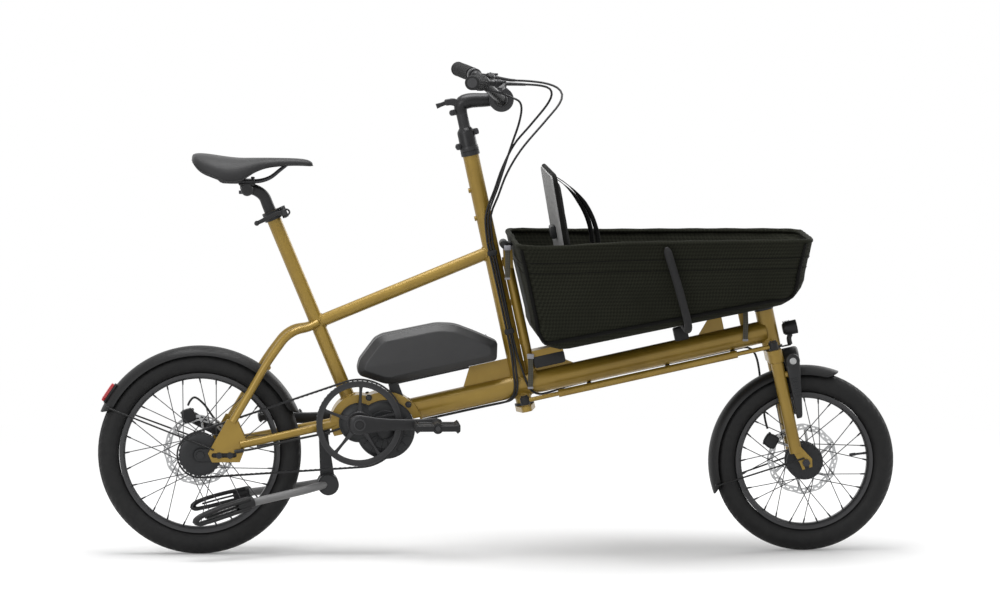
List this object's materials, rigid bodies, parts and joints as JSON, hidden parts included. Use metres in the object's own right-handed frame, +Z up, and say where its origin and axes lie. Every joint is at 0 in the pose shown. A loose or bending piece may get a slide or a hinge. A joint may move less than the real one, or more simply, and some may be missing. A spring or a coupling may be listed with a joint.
{
  "type": "cargo bicycle",
  "caption": "Two-wheeled electric cargo bicycle with a low boom, linked front steering, belt drive and a deep soft basket ahead of the rider.",
  "frame": {"origin": "centre of the overall box on the ground", "axes": "+X towards the front wheel, +Y to the rider's left, +Z up"},
  "size_m": [1.7868, 0.6268, 1.0862],
  "materials": {
    "gold_paint": "satin metallic",
    "black_alloy": "satin anodised",
    "black_steel": "satin",
    "bright_steel": "brushed",
    "grey_alloy": "satin",
    "tyre_rubber": "matte",
    "black_rubber": "matte",
    "dark_fabric": "matte woven",
    "grey_fabric": "matte woven",
    "red_lens": "gloss",
    "black_plastic": "matte"
  },
  "bodies": {
    "frame": {"main_boom": "gold_paint", "head_tube": "gold_paint", "top_tube": "gold_paint", "seat_tube": "gold_paint", "seat_stays": "gold_paint", "chain_stays": "gold_paint", "front_head_tube": "gold_paint", "basket_mounts": "gold_paint", "motor_cradle": "gold_paint", "motor": "black_alloy", "battery_rail": "black_plastic", "rear_axle": "black_steel", "rear_fender": "black_plastic", "tail_light": "red_lens", "rear_caliper": "black_steel", "drive_belt": "black_rubber", "basket": "dark_fabric", "basket_rim": "black_steel", "webbing": "dark_fabric", "backrest": "grey_fabric", "frame_cables": "black_rubber", "frame_hardware": "black_steel"},
    "steering": {"steerer": "black_alloy", "stem": "black_alloy", "handlebar": "black_alloy", "grips": "black_rubber", "controls": "black_plastic", "steering_cables": "black_rubber"},
    "fork": {"fork": "gold_paint", "front_axle": "bright_steel", "front_fender": "black_plastic", "headlight": "black_plastic", "ring_lock": "black_plastic", "front_caliper": "black_steel", "front_hose": "black_rubber"},
    "tie_rod": {"tie_rod": "black_steel"},
    "front_wheel": {"front_rim": "black_alloy", "front_tyre": "tyre_rubber", "front_spokes": "bright_steel", "front_hub": "black_alloy"},
    "rear_wheel": {"rear_rim": "black_alloy", "rear_tyre": "tyre_rubber", "rear_spokes": "bright_steel", "rear_hub": "black_alloy"},
    "crank": {"crank_set": "black_alloy", "belt_ring": "black_alloy"},
    "sprocket": {"rear_sprocket": "black_alloy"},
    "pedal_left": {"pedal_left": "black_plastic"},
    "pedal_right": {"pedal_right": "black_plastic"},
    "stand": {"stand_legs": "grey_alloy", "stand_feet": "black_rubber"},
    "brake_lever_left": {"brake_lever_left": "bright_steel"},
    "brake_lever_right": {"brake_lever_right": "bright_steel"},
    "shift_grip": {"shift_grip": "black_rubber"},
    "stem_lever": {"stem_lever": "black_steel"},
    "seat": {"seat_post": "black_alloy", "saddle": "dark_fabric", "saddle_rails": "bright_steel"},
    "seat_lever": {"seat_clamp_lever": "black_steel"},
    "battery": {"battery_case": "black_plastic"}
  },
  "joints": [
    {"name": "steering_turn", "type": "hinge", "parent": "frame", "child": "steering", "pos_m": [0.05358, 0, 0.37482], "axis": [-0.2113, 0, 0.9774], "range_deg": [-35, 35], "deforming": ["steering_cables"]},
    {"name": "fork_turn", "type": "hinge", "parent": "frame", "child": "fork", "pos_m": [0.61071, 0, 0.49528], "axis": [-0.2113, 0, 0.9774], "range_deg": [-35, 35], "deforming": ["front_hose"]},
    {"name": "tie_rod_pivot", "type": "hinge", "parent": "steering", "child": "tie_rod", "pos_m": [0.06013, -0.055, 0.34452], "axis": [-0.2113, 0, 0.9774], "range_deg": [-35, 35]},
    {"name": "front_wheel_spin", "type": "hinge", "parent": "fork", "child": "front_wheel", "pos_m": [0.69099, 0, 0.2025], "axis": [0, 1, 0], "continuous": true},
    {"name": "rear_wheel_spin", "type": "hinge", "parent": "frame", "child": "rear_wheel", "pos_m": [-0.66599, 0, 0.2275], "axis": [0, 1, 0], "continuous": true},
    {"name": "crank_spin", "type": "hinge", "parent": "frame", "child": "crank", "pos_m": [-0.31099, 0, 0.296], "axis": [0, 1, 0], "continuous": true},
    {"name": "sprocket_spin", "type": "hinge", "parent": "frame", "child": "sprocket", "pos_m": [-0.66599, 0, 0.2275], "axis": [0, 1, 0], "continuous": true},
    {"name": "pedal_left_spin", "type": "hinge", "parent": "crank", "child": "pedal_left", "pos_m": [-0.48099, 0, 0.296], "axis": [0, 1, 0], "continuous": true},
    {"name": "pedal_right_spin", "type": "hinge", "parent": "crank", "child": "pedal_right", "pos_m": [-0.14099, 0, 0.296], "axis": [0, 1, 0], "continuous": true},
    {"name": "stand_swing", "type": "hinge", "parent": "frame", "child": "stand", "pos_m": [-0.38799, 0, 0.256], "axis": [0, -1, 0], "range_deg": [0, 17]},
    {"name": "brake_left_pull", "type": "hinge", "parent": "steering", "child": "brake_lever_left", "pos_m": [0.00484, 0.16375, 1.05655], "axis": [0, 0, 1], "range_deg": [0, 12], "stiffness_Nm_per_rad": 2},
    {"name": "brake_right_pull", "type": "hinge", "parent": "steering", "child": "brake_lever_right", "pos_m": [0.00484, -0.16375, 1.05655], "axis": [0, 0, -1], "range_deg": [0, 12], "stiffness_Nm_per_rad": 2},
    {"name": "shift_twist", "type": "hinge", "parent": "steering", "child": "shift_grip", "pos_m": [-0.04841, -0.19891, 1.0643], "axis": [-0.2018, -0.9782, 0.0489], "range_deg": [-60, 60]},
    {"name": "stem_lever_open", "type": "hinge", "parent": "steering", "child": "stem_lever", "pos_m": [-0.10948, 0, 1.01073], "axis": [0, 1, 0], "range_deg": [0, 60]},
    {"name": "seat_slide", "type": "slide", "parent": "frame", "child": "seat", "axis": [-0.3827, 0, 0.9239], "range_m": [-0.03, 0.08]},
    {"name": "seat_lever_open", "type": "hinge", "parent": "frame", "child": "seat_lever", "pos_m": [-0.47672, -0.024, 0.76686], "axis": [-0.3827, 0, 0.9239], "range_deg": [0, 110]},
    {"name": "battery_lift", "type": "slide", "parent": "frame", "child": "battery", "axis": [-0.2113, 0, 0.9774], "range_m": [0, 0.045]}
  ],
  "couplings": [
    {"joint": "fork_turn", "follows": "steering_turn", "ratio": 1},
    {"joint": "tie_rod_pivot", "follows": "steering_turn", "ratio": -1},
    {"joint": "sprocket_spin", "follows": "crank_spin", "ratio": 1.9643}
  ]
}
